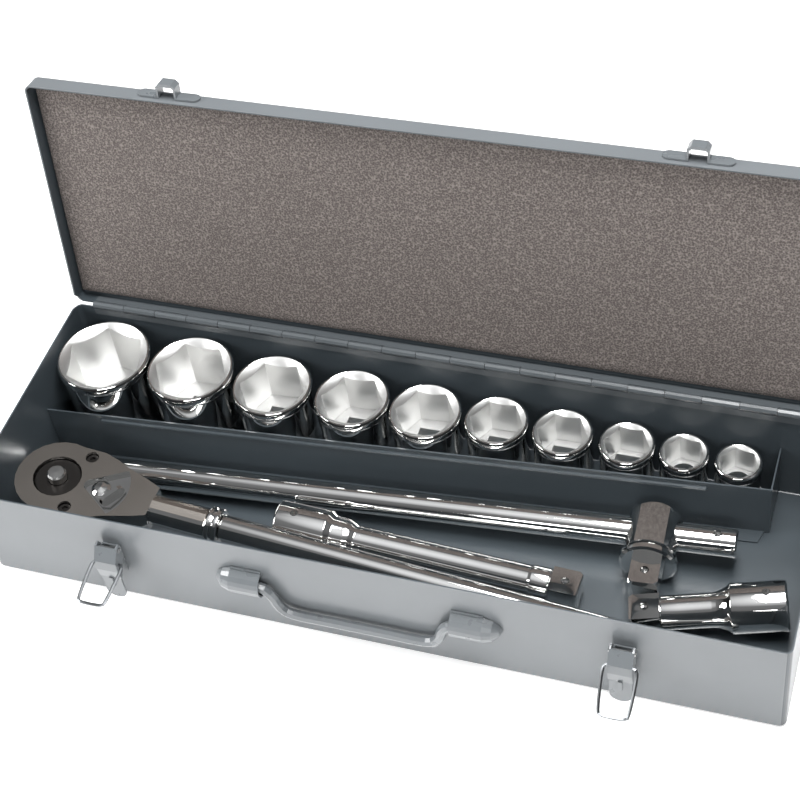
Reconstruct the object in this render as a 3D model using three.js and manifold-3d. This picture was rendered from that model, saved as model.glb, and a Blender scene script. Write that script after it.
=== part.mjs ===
// Socket wrench set, 3/4 inch drive, in a hinged sheet-steel case.
// Millimetres, +Z up. The origin is the centre of the case's underside, +X runs along the
// case and -Y is the front, where the handle and the two draw latches are. The lid is open.
import * as THREE from 'three';
import { mergeVertices } from 'three/addons/utils/BufferGeometryUtils.js';
import Module from 'manifold-3d';

const wasm = await Module();
wasm.setup();

// ---- driving dimensions ----------------------------------------------------------------

const caseLength = 546;        // outside, along X
const caseWidth = 182;         // outside, along Y
const rimHeight = 81.5;        // underside to the rim of the base
const lidWall = 13.7;          // height of the lid's walls
const sheet = 1.2;             // steel sheet of base and lid
const cornerRadius = 5;        // upright corners
const edgeRadius = 2;          // folded edges of floor and lid
const gap = 0.3;               // between pieces that touch
const lidOpenAngle = 98;       // degrees from closed to open

const knuckleRadius = 2.6;     // hinge
const hingeInset = 1.2;        // axis in front of the case's back face
const knucklePitch = 24.6;
const knuckleCount = 21;
const pinRadius = 1.3;
const leafSheet = 1;
const leafHeight = 5.4;

const trayBackLeft = 106.2;    // from the case's front to the tray's wall at its left end
const trayBackRight = 144;     // and at its right end
const trayShort = 36;          // the tray ends this far from the case's right end
const trayHeight = 47;
const traySheet = 1;
const trayFlange = 11;
const beadRadius = 2;
const beadDrop = 5.5;

const foamThickness = 5;
const foamMargin = 1.5;

const driveSize = 19.05;       // 3/4 inch square
const driveLength = 20.5;
const driveClearance = 0.4;    // a female square is this much wider
const ballRadius = 2.6;

const handleRodRadius = 3.6;
const handlePivotHeight = 47;
const handlePivotOut = 4.4;    // pivot line in front of the wall
const handleDrop = 24.5;
const handleGripHalf = 46;
const handleBracketInner = 64;
const handleBracketOuter = 97;
const bracketSheet = 1.2;

const latchSpacing = 344;      // between the two latches, and between the lid's two staples
const latchShift = 1.5;        // both pairs sit this far right of the middle
const latchPivotHeight = 58;
const latchPivotOut = 5;       // lever's pivot in front of the wall
const latchWidth = 15.6;
const latchSheet = 1.2;
const latchFace = 8.2;         // lever's face in front of its pivot
const latchBreak = 22;         // from the pivot down to where the thumb tab begins
const latchLength = 44;        // pivot to the tip of the tab
const latchPinRadius = 1.6;
const bailWire = 1.1;          // radius
const bailLength = 31;
const bailPivotOut = 5.2;      // from the lever's pivot
const bailPivotDrop = 9;
const bailTaper = 1.1;         // narrower by this much each side at the hooking end
const bailSwing = { left: 84, right: 50 };   // degrees out from hanging straight down

const stapleWidth = 13.6;
const stapleDepth = 8;
const stapleOut = 9.8;
const stapleInset = 3.2;       // from the lid's rim
const padLength = 44;
const padHeight = 8.6;

const socketFloor = 3;         // web between hexagon and drive square
const socketDepth = 23;        // depth of the drive square
const socketFlare = 0.8;       // rise of the widening part of large sockets, per mm of radius

// flats: spanner size, od: outside diameter, height, space: clearance to the socket on the
// left, turn: degrees that the hexagon is turned by
const socketRange = [
  { flats: 50, od: 67.9, height: 70.8, space: 0.4, turn: -12 },
  { flats: 46, od: 62.4, height: 68.4, space: 0.8, turn: 0 },
  { flats: 41, od: 57.1, height: 62.1, space: 0.5, turn: 4 },
  { flats: 38, od: 53.2, height: 60.2, space: 3.2, turn: 3 },
  { flats: 36, od: 50.8, height: 57.8, space: 0.7, turn: 3 },
  { flats: 32, od: 44.4, height: 56.4, space: 2.0, turn: 0 },
  { flats: 30, od: 42.0, height: 54.1, space: 2.4, turn: 0 },
  { flats: 27, od: 38.4, height: 51.6, space: 3.4, turn: -1 },
  { flats: 24, od: 33.9, height: 49.2, space: 1.8, turn: -9 },
  { flats: 22, od: 31.9, height: 47.3, space: 3.1, turn: -12 },
];
const driveEndRadius = 22.5;   // large sockets neck down to this
const socketSegments = 20;

const barRadius = 9.5;         // sliding T-bar
const barLength = 480;
const barStub = 55;            // head's centre to the near end of the bar
const barHeadPlace = { fromRight: 106, fromFront: 111.7 };
const headLift = 0.5;          // under the head, so that it can slide along the sloping bar
const barYaw = 3.4;
const headRadius = 17.5;
const headCollar = 19;
const headBack = 16;
const headFront = 25.5;
const headFlat = 14.5;
const barClearance = 0.35;

const extensionSocket = 16.6;  // radius of an extension's female end
const extensionCup = 36.5;     // and its length
const extensionShank = 11.4;   // radius
const longExtension = { length: 212, place: { fromRight: 143.3, fromFront: 61.4 }, yaw: 178.8 };
const shortExtension = { length: 100.4, place: { fromRight: 108.7, fromFront: 52.1 }, yaw: 13.2 };

const ratchetPlace = { fromLeft: 40.8, fromFront: 44.7 };
const ratchetYaw = -1.65;
const ratchetHeadRadius = 29.5;
const ratchetTop = 9.1;        // flat face above the handle's axis
const ratchetUnder = 21.5;     // underside of the head below the handle's axis
const coverThickness = 2.4;
const ratchetNeck = 12;        // half width where the flat face ends
const ratchetNeckEnd = 71.5;
const barrelRadius = 10.5;
const barrelEnd = 112;
const tenonRadius = 6;
const tenonLength = 24;
const collarLength = 9;
const collarRadius = 12.4;
const gripRadius = 9;
const gripEnd = 470;           // end of the grip from the head's centre
const gearRadius = 18.2;
const gearTeeth = 24;
const toothDepth = 1.4;
const pocketTop = 2.5;         // the mechanism's pocket, above the handle's axis
const hubRadius = 16.6;
const hubRecess = 2.2;
const shoulderRadius = 14;
const buttonRadius = 6.6;
const buttonProud = 4.8;
const buttonStem = 2.8;
const buttonTravel = 3;
const ratchetSquareEnd = 45.5; // end of the drive square below the handle's axis
const screwPlace = [16, 22];
const screwHead = 4.4;
const screwShank = 2.2;
const leverPivot = 33;         // from the head's centre towards the grip
const leverPocketApex = 23.5;
const leverPocketRadius = 29;
const leverPocketHalf = 41;    // degrees each side
const leverPocketDepth = 3.2;
const leverShaft = 3;
const leverReach = 11;         // pivot to the thumb ridge
const leverAngle = 18;         // degrees to each side, where the lever rests
const pawlReach = 14.4;
const pocketBack = 7.5;         // the pocket ends this far behind the lever's pivot

// ---- values worked out from them -------------------------------------------------------

const front = -caseWidth / 2;
const backInside = caseWidth / 2 - sheet;
const sideInside = caseLength / 2 - sheet;
const floorTop = sheet + gap;
const trayWallLeft = front + trayBackLeft;
const trayWallRight = front + trayBackRight;
const trayEnd = caseLength / 2 - trayShort;
const hingeY = caseWidth / 2 - hingeInset;
const hingeZ = rimHeight + 1;
const lidRim = rimHeight + gap;
const lidTop = lidRim + lidWall;

// ---- geometry helpers ------------------------------------------------------------------

function closed(geometry) {
  // one closed indexed body with outward faces, made of positions only
  const bare = geometry.clone();
  bare.deleteAttribute('normal');
  bare.deleteAttribute('uv');
  const merged = mergeVertices(bare, 1e-4);
  const old = merged.index.array;
  const index = [];
  for (let i = 0; i < old.length; i += 3) {
    const [a, b, c] = [old[i], old[i + 1], old[i + 2]];
    if (a !== b && b !== c && c !== a) index.push(a, b, c);
  }
  const p = merged.attributes.position.array;
  const at = (i) => new THREE.Vector3(p[3 * i], p[3 * i + 1], p[3 * i + 2]);
  let volume = 0;
  for (let i = 0; i < index.length; i += 3) {
    volume += at(index[i]).dot(at(index[i + 1]).cross(at(index[i + 2])));
  }
  if (volume < 0) index.reverse();
  merged.setIndex(index);
  return merged;
}

function toManifold(geometry) {
  const body = closed(geometry);
  return new wasm.Manifold(new wasm.Mesh({
    numProp: 3,
    vertProperties: Float32Array.from(body.attributes.position.array),
    triVerts: Uint32Array.from(body.index.array),
  }));
}

function fromManifold(solid) {
  const { vertProperties, triVerts } = solid.getMesh();
  const geometry = new THREE.BufferGeometry();
  geometry.setAttribute('position', new THREE.BufferAttribute(vertProperties, 3));
  geometry.setIndex(new THREE.BufferAttribute(triVerts, 1));
  return geometry;
}

function join(first, ...others) {
  return fromManifold(others.reduce((sum, g) => sum.add(toManifold(g)), toManifold(first)));
}

function cut(body, ...tools) {
  return fromManifold(tools.reduce((rest, g) => rest.subtract(toManifold(g)), toManifold(body)));
}

function common(first, second) {
  return fromManifold(toManifold(first).intersect(toManifold(second)));
}

function block([x0, x1], [y0, y1], [z0, z1]) {
  const geometry = new THREE.BoxGeometry(x1 - x0, y1 - y0, z1 - z0);
  return geometry.translate((x0 + x1) / 2, (y0 + y1) / 2, (z0 + z1) / 2);
}

function turned(profile, segments) {
  // a solid of revolution about Z from [radius, z] points
  const points = profile.map(([r, z]) => new THREE.Vector2(r, z));
  return new THREE.LatheGeometry(points, segments).rotateX(Math.PI / 2);
}

function rod(radius, z0, z1, segments = 20, chamfer = 0) {
  const profile = chamfer
    ? [[0, z0], [radius - chamfer, z0], [radius, z0 + chamfer],
      [radius, z1 - chamfer], [radius - chamfer, z1], [0, z1]]
    : [[0, z0], [radius, z0], [radius, z1], [0, z1]];
  return turned(profile, segments);
}

const alongX = (geometry) => geometry.rotateY(Math.PI / 2);
const alongY = (geometry) => geometry.rotateX(-Math.PI / 2);

function plate(shape, z0, z1, curveSegments = 8) {
  const geometry = new THREE.ExtrudeGeometry(shape, {
    depth: z1 - z0, bevelEnabled: false, curveSegments,
  });
  return geometry.translate(0, 0, z0);
}

function polygon(points) {
  return new THREE.Shape(points.map(([x, y]) => new THREE.Vector2(x, y)));
}

function sideProfile(points, x0, x1) {
  // extrudes a [y, z] outline from x0 to x1
  const geometry = plate(polygon(points), x0, x1);
  return geometry.applyMatrix4(new THREE.Matrix4().set(
    0, 0, 1, 0,
    1, 0, 0, 0,
    0, 1, 0, 0,
    0, 0, 0, 1,
  ));
}

function frontProfile(points, y0, y1) {
  // extrudes an [x, z] outline from y0 to y1
  const geometry = plate(polygon(points), -y1, -y0);
  return geometry.applyMatrix4(new THREE.Matrix4().set(
    1, 0, 0, 0,
    0, 0, -1, 0,
    0, 1, 0, 0,
    0, 0, 0, 1,
  ));
}

function roundedRectangle(halfX, halfY, radius) {
  const shape = new THREE.Shape();
  shape.moveTo(-halfX + radius, -halfY);
  shape.lineTo(halfX - radius, -halfY);
  shape.absarc(halfX - radius, -halfY + radius, radius, -Math.PI / 2, 0);
  shape.absarc(halfX - radius, halfY - radius, radius, 0, Math.PI / 2);
  shape.absarc(-halfX + radius, halfY - radius, radius, Math.PI / 2, Math.PI);
  shape.absarc(-halfX + radius, -halfY + radius, radius, Math.PI, 1.5 * Math.PI);
  return shape;
}

function pan(halfX, halfY, bottom, top, radius, edge) {
  // a block with rounded uprights and a rounded lower edge
  const shape = roundedRectangle(halfX - edge, halfY - edge, Math.max(radius - edge, 0.5));
  const geometry = new THREE.ExtrudeGeometry(shape, {
    depth: top - bottom, bevelThickness: edge, bevelSize: edge, bevelSegments: 2, curveSegments: 3,
  });
  const over = Math.max(halfX, halfY) + 1;
  return cut(geometry.translate(0, 0, bottom + edge),
    block([-over, over], [-over, over], [top, top + 2 * edge + 1]));
}

function tube(points, radius, sides, steps) {
  // a round wire along a smooth curve through points
  const curve = new THREE.CatmullRomCurve3(points, false, 'centripetal');
  const ring = new THREE.Shape();
  for (let i = 0; i < sides; i += 1) {
    const a = (2 * Math.PI * i) / sides;
    const to = [radius * Math.cos(a), radius * Math.sin(a)];
    if (i === 0) ring.moveTo(...to);
    else ring.lineTo(...to);
  }
  return new THREE.ExtrudeGeometry(ring, { steps, extrudePath: curve, bevelEnabled: false });
}

function square(size, z0, z1) {
  return block([-size / 2, size / 2], [-size / 2, size / 2], [z0, z1]);
}

// ---- materials -------------------------------------------------------------------------

const finish = (color, roughness, metalness) => new THREE.MeshStandardMaterial({
  color, roughness, metalness,
});
const outerPaint = () => finish(0xa9adb0, 0.35, 0.1);
const hardwarePaint = () => finish(0x8d9296, 0.35, 0.3);
const trayPaint = () => finish(0x3c4348, 0.4, 0.1);
const chrome = () => finish(0xd8d8d6, 0.08, 1);
const satin = () => finish(0x8b8580, 0.3, 1);
const steel = () => finish(0xb5b5b3, 0.35, 1);
const black = () => finish(0x1c1b1a, 0.45, 0.6);
const foam = () => finish(0x6f6560, 0.95, 0);

const model = new THREE.Group();

function add(name, geometry, material, parent = model) {
  const mesh = new THREE.Mesh(closed(geometry), material);
  mesh.name = name;
  parent.add(mesh);
  return mesh;
}

function placed(x, y, z, { yaw = 0, pitch = 0 } = {}, parent = model) {
  // pitch raises the group's +X end
  const group = new THREE.Group();
  group.position.set(x, y, z);
  group.rotation.set(0, -THREE.MathUtils.degToRad(pitch), THREE.MathUtils.degToRad(yaw), 'ZYX');
  parent.add(group);
  return group;
}

function laid({ fromLeft, fromRight, fromFront }) {
  // X and Y of a tool that lies in the case, from the case's outer sides
  const x = fromLeft === undefined ? caseLength / 2 - fromRight : fromLeft - caseLength / 2;
  return [x, front + fromFront];
}

// ---- case base -------------------------------------------------------------------------

function caseBase() {
  const outside = pan(caseLength / 2, caseWidth / 2, 0, rimHeight, cornerRadius, edgeRadius);
  const inside = pan(sideInside, backInside, sheet, rimHeight + 1,
    cornerRadius - sheet, Math.max(edgeRadius - sheet, 0.4));
  const over = caseLength / 2 + 1;
  const below = hingeZ - knuckleRadius - gap;
  // the back wall stops under the knuckles and the side walls' rear corners slope down to it
  const hingeCut = sideProfile([
    [hingeY - knuckleRadius - 4, rimHeight + 1],
    [hingeY - knuckleRadius - 3.4, rimHeight - 0.3],
    [hingeY - knuckleRadius + 0.5, below],
    [caseWidth / 2 + 1, below],
    [caseWidth / 2 + 1, rimHeight + 1],
  ], -over, over);
  return cut(outside, inside, hingeCut);
}

add('case_base', caseBase(), outerPaint());

// ---- tray for the sockets --------------------------------------------------------------

const trayLeft = -sideInside + gap;
const trayWallAt = (x) => trayWallLeft
  + ((trayWallRight - trayWallLeft) * (x - trayLeft)) / (trayEnd - trayLeft);

function trayDivider() {
  const rear = backInside - gap;
  const wall = plate(polygon([
    [trayLeft, trayWallLeft],
    [trayEnd + traySheet, trayWallRight],
    [trayEnd + traySheet, rear],
    [trayEnd, rear],
    [trayEnd, trayWallRight + traySheet],
    [trayLeft, trayWallLeft + traySheet],
  ]), floorTop, trayHeight);
  const flange = plate(polygon([
    [trayLeft, trayWallLeft - trayFlange + 1],
    [trayLeft, trayWallLeft + traySheet],
    [trayEnd - 2, trayWallRight + traySheet],
    [trayEnd - 5, trayWallRight - trayFlange + 1],
  ]), floorTop, floorTop + traySheet);
  const beadStart = trayLeft + 40;
  const beadEnd = trayEnd - 40;
  const slope = Math.atan2(trayWallAt(beadEnd) - trayWallAt(beadStart), beadEnd - beadStart);
  const beadLength = (beadEnd - beadStart) / Math.cos(slope);
  const bead = alongX(rod(beadRadius, 0, beadLength, 10, 1.4)).scale(1, 0.8, 1).rotateZ(slope)
    .translate(beadStart, trayWallAt(beadStart) + 0.1, trayHeight - beadDrop);
  const behind = plate(polygon([
    [trayLeft - 1, trayWallAt(trayLeft - 1) + traySheet],
    [trayEnd + 1, trayWallAt(trayEnd + 1) + traySheet],
    [trayEnd + 1, trayWallRight + 20],
    [trayLeft - 1, trayWallLeft + 20],
  ]), trayHeight - beadDrop - 5, trayHeight - beadDrop + 5);
  return join(wall, flange, cut(bead, behind));
}

add('tray_divider', trayDivider(), trayPaint());

// ---- lid, built closed and turned open about the hinge ---------------------------------

const lidGroup = new THREE.Group();
lidGroup.position.set(0, hingeY, hingeZ);
lidGroup.rotation.x = -THREE.MathUtils.degToRad(lidOpenAngle);
model.add(lidGroup);
const lidPlace = (geometry) => geometry.translate(0, -hingeY, -hingeZ);

function lidShell() {
  // made standing on its panel, then turned over
  const outside = pan(caseLength / 2, caseWidth / 2, 0, lidWall, cornerRadius, edgeRadius);
  const inside = pan(sideInside, backInside, sheet, lidWall + 1,
    cornerRadius - sheet, Math.max(edgeRadius - sheet, 0.4));
  const shell = cut(outside, inside).rotateX(Math.PI).translate(0, 0, lidTop);
  const over = caseLength / 2 + 1;
  const above = hingeZ + knuckleRadius + gap;
  const hingeCut = sideProfile([
    [hingeY - knuckleRadius - 4, lidRim - 1],
    [hingeY - knuckleRadius - 3.4, lidRim + 0.3],
    [hingeY - knuckleRadius + 0.5, above],
    [caseWidth / 2 + 1, above],
    [caseWidth / 2 + 1, lidRim - 1],
  ], -over, over);
  return cut(shell, hingeCut);
}

add('lid_shell', lidPlace(lidShell()), outerPaint(), lidGroup);

function lidFoam() {
  const top = lidTop - sheet - gap;
  const halfX = sideInside - foamMargin;
  const rear = hingeY - knuckleRadius - foamMargin - 1;
  const shape = roundedRectangle(halfX, (rear + backInside - foamMargin) / 2, 3);
  return plate(shape, top - foamThickness, top, 3)
    .translate(0, (rear - backInside + foamMargin) / 2, 0);
}

add('lid_foam', lidPlace(lidFoam()), foam(), lidGroup);

// ---- piano hinge: alternate knuckles belong to base and lid ----------------------------

const hingeLength = knucklePitch * knuckleCount;

function hingeLeaf(parity, direction) {
  // direction -1 hangs down inside the base's back wall, +1 stands up inside the lid's
  const y1 = backInside - gap;
  const y0 = y1 - leafSheet;
  const near = hingeZ + direction * (knuckleRadius + gap + 0.1);
  const far = near + direction * leafHeight;
  const ordered = (a, b) => (a < b ? [a, b] : [b, a]);
  const pieces = [block([-hingeLength / 2, hingeLength / 2], [y0, y1], ordered(near, far))];
  for (let k = 0; k < knuckleCount; k += 1) {
    if (k % 2 !== parity) continue;
    const x0 = -hingeLength / 2 + k * knucklePitch + 0.2;
    const x1 = x0 + knucklePitch - 0.4;
    pieces.push(alongX(rod(knuckleRadius, 0, x1 - x0, 8)).translate(x0, hingeY, hingeZ));
    pieces.push(block([x0, x1], [y0, y1], ordered(near + direction, hingeZ)));
  }
  const bore = alongX(rod(pinRadius + gap, -hingeLength / 2 - 1, hingeLength / 2 + 1, 6))
    .translate(0, hingeY, hingeZ);
  return cut(join(...pieces), bore);
}

add('hinge_leaf_base', hingeLeaf(0, -1), outerPaint());
add('hinge_leaf_lid', lidPlace(hingeLeaf(1, 1)), outerPaint(), lidGroup);
add('hinge_pin', alongX(rod(pinRadius, -hingeLength / 2, hingeLength / 2, 10))
  .translate(0, hingeY, hingeZ), steel());

// ---- lid staples, which the bails hook over --------------------------------------------

function lidStaple(x) {
  // a flat strap with oval ends, pressed up into an arch in the middle
  const wall = front - gap;
  const z0 = lidRim + stapleInset - (padHeight - stapleDepth) / 2;
  const half = padHeight / 2;
  const pad = new THREE.Shape();
  pad.absarc(padLength / 2 - half, 0, half, -Math.PI / 2, Math.PI / 2);
  pad.absarc(-padLength / 2 + half, 0, half, Math.PI / 2, 1.5 * Math.PI);
  const base = plate(pad, 0, latchSheet, 5).rotateX(Math.PI / 2).translate(0, wall, z0 + half);
  const w = stapleWidth / 2;
  const bend = 2.4;
  const outline = (inset) => [
    [-w + inset, 1], [-w + inset, -stapleOut + bend], [-w + bend, -stapleOut + inset],
    [w - bend, -stapleOut + inset], [w - inset, -stapleOut + bend], [w - inset, 1],
  ];
  const z1 = lidRim + stapleInset;
  const solid = plate(polygon(outline(0).map(([px, py]) => [px, py - 1])), z1, z1 + stapleDepth);
  const tunnel = plate(polygon(outline(latchSheet)), z1 - 3, z1 + stapleDepth + 3);
  return cut(join(base, solid.translate(0, wall, 0)), tunnel.translate(0, wall, 0))
    .translate(x, 0, 0);
}

// ---- draw latches ----------------------------------------------------------------------

const latchHalf = latchWidth / 2;
const earHalf = latchHalf - latchSheet - gap;

function latchBase(x) {
  const wall = front - gap;
  const pad = block([-earHalf, earHalf], [wall - latchSheet, wall],
    [latchPivotHeight - 27, latchPivotHeight - 0.6]);
  const ears = [-1, 1].map((side) => {
    const x0 = side > 0 ? earHalf - latchSheet : -earHalf;
    return sideProfile([
      [wall - 0.5, latchPivotHeight - 1],
      [wall - 0.5, latchPivotHeight - 12],
      [wall - latchPivotOut - 1, latchPivotHeight - 2.6],
      [wall - latchPivotOut - 2.4, latchPivotHeight],
      [wall - latchPivotOut - 0.8, latchPivotHeight + 2.4],
    ], x0, x0 + latchSheet);
  });
  const bore = alongX(rod(latchPinRadius + gap, -latchHalf, latchHalf, 10))
    .translate(0, wall - latchPivotOut, latchPivotHeight);
  return cut(join(pad, ...ears), bore).translate(x, 0, 0);
}

function latchPin() {
  return alongX(rod(latchPinRadius, -latchHalf - 0.7, latchHalf + 0.7, 10));
}

function latchLever() {
  // origin on the lever's pivot: leaf-shaped cheeks, a folded face and a round thumb tab
  const face = -latchFace;
  const cheek = [
    [1.6, 4.5], [-2.2, 3.9], [face, -5], [face - 0.5, -13], [face + 0.8, -latchBreak],
    [-3.4, -18], [3, -8], [3.4, 0],
  ];
  const cheeks = [-1, 1].map((side) => {
    const x0 = side > 0 ? latchHalf - latchSheet : -latchHalf;
    return sideProfile(cheek, x0, x0 + latchSheet);
  });
  const web = sideProfile([
    [-2.2, 3.9], [-1.2, 3.23], [face + 1.2, -5.4], [face + 0.7, -13], [face + 2, -latchBreak],
    [face + 0.8, -latchBreak], [face - 0.5, -13], [face, -5],
  ], -latchHalf, latchHalf);
  const tabHalf = latchHalf - 0.6;
  const straight = latchLength - latchBreak - tabHalf + 0.8;
  const tab = new THREE.Shape();
  tab.moveTo(-tabHalf, 0);
  tab.lineTo(-tabHalf, -straight);
  tab.absarc(0, -straight, tabHalf, Math.PI, 2 * Math.PI);
  tab.lineTo(tabHalf, 0);
  const thumb = plate(tab, 0, latchSheet, 7).rotateX(Math.PI / 2)
    .translate(0, face + 2, -latchBreak + 0.8);
  const rib = sideProfile([
    [face + 1.2, -latchBreak + 0.5], [face + 1.2, -latchBreak - 9.5], [face - 0.3, -latchBreak - 8],
    [face - 0.3, -latchBreak + 0.5],
  ], -1.3, 1.3);
  const pivot = alongX(rod(latchPinRadius + gap, -latchHalf - 1, latchHalf + 1, 10));
  const bailHole = alongX(rod(bailWire + gap, -latchHalf - 1, latchHalf + 1, 10))
    .translate(0, -bailPivotOut, -bailPivotDrop);
  return cut(join(web, ...cheeks, thumb, rib), pivot, bailHole);
}

function latchBail() {
  // origin on the bail's pivot: two bent-in ends, two legs and the hooking bar
  const top = latchHalf + bailWire + 1.6;
  const bottom = top - bailTaper;
  const bend = 2.6;
  const inner = latchHalf - latchSheet + 0.3;
  const half = [
    [inner, 0], [top - bend + 0.8, 0], [top - 0.6, -0.7], [top, -bend],
    [bottom + 0.1, -bailLength + bend + 1], [bottom - 0.7, -bailLength + 0.7],
    [bottom - bend - 0.6, -bailLength],
  ];
  const points = [
    ...half.map(([x, z]) => new THREE.Vector3(-x, 0, z)),
    ...half.reverse().map(([x, z]) => new THREE.Vector3(x, 0, z)),
  ];
  return tube(points, bailWire, 6, 36);
}

[['left', -1], ['right', 1]].forEach(([side, sign]) => {
  const x = latchShift + (sign * latchSpacing) / 2;
  add(`lid_staple_${side}`, lidPlace(lidStaple(x)), hardwarePaint(), lidGroup);
  add(`latch_base_${side}`, latchBase(x), hardwarePaint());
  const pivot = placed(x, front - gap - latchPivotOut, latchPivotHeight);
  add(`latch_pin_${side}`, latchPin(), steel(), pivot);
  add(`latch_lever_${side}`, latchLever(), hardwarePaint(), pivot);
  const hang = new THREE.Group();
  hang.position.set(0, -bailPivotOut, -bailPivotDrop);
  hang.rotation.x = -THREE.MathUtils.degToRad(bailSwing[side]);
  pivot.add(hang);
  add(`latch_bail_${side}`, latchBail(), steel(), hang);
});

// ---- carrying handle -------------------------------------------------------------------

function handleBail() {
  // origin on the pivot line: ends in the brackets, an S-bend each side and the grip
  const half = [
    [handleBracketOuter - 9, 0], [handleBracketInner + 1, 0], [handleBracketInner - 1.6, -1.2],
    [handleBracketInner - 6, -6.6], [handleGripHalf + 9, -handleDrop + 8],
    [handleGripHalf + 4.4, -handleDrop + 2], [handleGripHalf - 3, -handleDrop], [20, -handleDrop],
  ];
  const points = [
    ...half.map(([x, z]) => new THREE.Vector3(-x, 0, z)),
    ...half.reverse().map(([x, z]) => new THREE.Vector3(x, 0, z)),
  ];
  return tube(points, handleRodRadius, 8, 40);
}

function handleBracket(sign) {
  // half-round saddle over the rod's end, closed and pointed at its outer end
  const inner = handlePivotOut + handleRodRadius + 3 * gap;
  const outer = inner + bracketSheet;
  const straight = handleBracketOuter - 12;
  const shell = (radius, start, end) => alongX(turned([
    [0, start], [radius, start], [radius, straight], [radius * 0.82, straight + 6],
    [radius * 0.4, end - 1.6], [0, end],
  ], 20));
  const flange = block([handleBracketInner, straight], [-bracketSheet, 0], [inner - 0.2, outer + 1.6]);
  const bracket = cut(
    join(shell(outer, handleBracketInner, handleBracketOuter), flange,
      flange.clone().translate(0, 0, -inner - outer - 1.4)),
    shell(inner, handleBracketInner - 1, handleBracketOuter - bracketSheet),
    block([0, handleBracketOuter + 1], [0, outer + 1], [-outer - 3, outer + 3]),
  );
  return sign > 0 ? bracket : bracket.scale(-1, 1, 1);
}

const handleGroup = placed(0, front - handlePivotOut, handlePivotHeight);
add('handle_bail', handleBail(), hardwarePaint(), handleGroup);
[['left', -1], ['right', 1]].forEach(([side, sign]) => {
  const bracket = handleBracket(sign);
  add(`handle_bracket_${side}`, bracket.translate(0, front - gap, handlePivotHeight), hardwarePaint());
});

// ---- sockets ---------------------------------------------------------------------------

function hexagon(flats, turn) {
  // relieved corners: the last degrees each side of a corner are cut a little deeper
  const corner = flats / 2 / Math.cos(Math.PI / 6);
  const relief = THREE.MathUtils.degToRad(7);
  const points = [];
  for (let k = 0; k < 6; k += 1) {
    const a = (k * Math.PI) / 3 + THREE.MathUtils.degToRad(turn);
    const beside = flats / 2 / Math.cos(Math.PI / 6 - relief);
    points.push([a - relief, beside + 0.5], [a, corner + 0.35], [a + relief, beside + 0.5]);
  }
  return polygon(points.map(([a, r]) => [r * Math.cos(a), r * Math.sin(a)]));
}

function socket({ flats, od, height, turn }) {
  const R = od / 2;
  const neck = Math.min(R, driveEndRadius);
  const hexBottom = socketDepth + socketFloor;
  const profile = [[0, 0], [neck - 1.4, 0], [neck, 1.4]];
  if (R > neck) {
    profile.push([neck, hexBottom - 1 - (R - neck) * socketFlare], [R - 1, hexBottom - 1]);
  }
  profile.push([R - 0.7, height - 7], [R, height - 5.2], [R, height - 1.6], [R - 1.1, height], [0, height]);
  const body = turned(profile, socketSegments);
  const bore = plate(hexagon(flats, turn), hexBottom, height + 1);
  const mouth = turned([
    [0, height - R * 0.7], [R - 1.9, height - 0.05], [R - 1.9, height + 1], [0, height + 1],
  ], socketSegments);
  const squareFits = flats > driveSize * 1.35;
  const squareHole = square(driveSize + driveClearance, -1, squareFits ? hexBottom + 1 : socketDepth);
  const web = rod(Math.min(flats / 2 - 2.2, 9), socketDepth - 1, hexBottom + 1, 12);
  const lead = turned([[0, -0.5], [driveSize / 2 + 3.2, -0.5], [0, driveSize / 2 + 2.7]], 16);
  return cut(body, bore, mouth, squareHole, web, lead);
}

let socketX = trayLeft;
let previous = 0;
socketRange.forEach((size) => {
  socketX += previous / 2 + size.space + size.od / 2;
  previous = size.od;
  const y = hingeY - knuckleRadius - gap - size.od / 2;
  const place = placed(socketX, y, floorTop);
  add(`socket_${size.flats}`, socket(size), chrome(), place);
});

// ---- drive ends shared by the T-bar and the extensions ---------------------------------

function maleSquare(length) {
  // from z = -length to 1 with a chamfered tip; the ball's hole is on +Y
  const tip = turned([
    [0, -length], [driveSize * 0.62, -length], [driveSize * 0.735, -length + 3],
    [driveSize * 0.735, 1], [0, 1],
  ], 24);
  const body = common(square(driveSize, -length, 1), tip);
  const hole = alongY(rod(ballRadius + gap, driveSize / 2 - 4.6, driveSize / 2 + 1, 14))
    .translate(0, 0, -length / 2);
  return cut(body, hole);
}

function ball() {
  return new THREE.SphereGeometry(ballRadius, 8, 6);
}

// ---- extension bars --------------------------------------------------------------------

function extension(length, ring) {
  // axis +Z, male square at z = 0 pointing down
  const s = driveLength;
  const cup = length - extensionCup;
  const shank = extensionShank;
  const profile = [[0, s - 1], [shank - 0.8, s - 1], [shank, s], [shank, s + 12]];
  if (ring) {
    profile.push([shank - 0.7, s + 14], [shank - 0.7, cup - 20], [shank + 2, cup - 13]);
    profile.push([shank + 2.6, cup - 4], [extensionSocket, cup]);
  } else {
    profile.push([shank, cup - 11], [shank + 1, cup - 6], [extensionSocket - 2, cup - 1.4]);
    profile.push([extensionSocket, cup + 1]);
  }
  profile.push([extensionSocket, length - 1.2], [extensionSocket - 1.2, length], [0, length]);
  const hole = square(driveSize + driveClearance, length - 26, length + 1);
  const lead = turned([
    [0, length - driveSize / 2 - 2.2], [driveSize / 2 + 2.7, length + 0.5], [0, length + 0.5],
  ], 16);
  const catchHole = alongY(rod(2.7, 0, extensionSocket + 2, 8)).translate(0, 0, length - 13);
  return cut(join(turned(profile, 20), maleSquare(s).translate(0, 0, s)), hole, lead, catchHole);
}

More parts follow.
